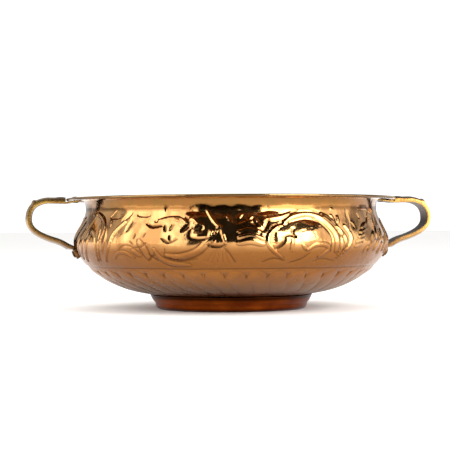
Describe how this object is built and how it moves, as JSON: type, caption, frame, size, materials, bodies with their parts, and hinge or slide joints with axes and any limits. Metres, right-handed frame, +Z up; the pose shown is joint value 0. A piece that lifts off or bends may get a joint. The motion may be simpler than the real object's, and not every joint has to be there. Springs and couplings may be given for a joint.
{
  "type": "brass urli bowl",
  "caption": "Wide footed serving bowl of embossed sheet brass with a flat flanged rim, a brazed foot ring and a riveted strap handle on each side.",
  "frame": {"origin": "on the ground plane at the centre of the foot ring", "axes": "+X along the line of the two handles, +Z up"},
  "size_m": [0.3796, 0.305, 0.1041],
  "materials": {
    "bowl_brass": "polished and lacquered, embossed",
    "foot_brass": "darker, tarnished at the seam",
    "handle_brass": "cast, hand filed, soft polish",
    "rivet_brass": "hammered heads"
  },
  "bodies": {
    "root": {"bowl_shell": "bowl_brass", "foot_ring": "foot_brass", "handle_left": "handle_brass", "handle_right": "handle_brass", "rim_rivet_left_front": "rivet_brass", "rim_rivet_left_back": "rivet_brass", "rim_rivet_right_front": "rivet_brass", "rim_rivet_right_back": "rivet_brass", "belly_rivet_left_front": "rivet_brass", "belly_rivet_left_back": "rivet_brass", "belly_rivet_right_front": "rivet_brass", "belly_rivet_right_back": "rivet_brass"}
  },
  "joints": []
}
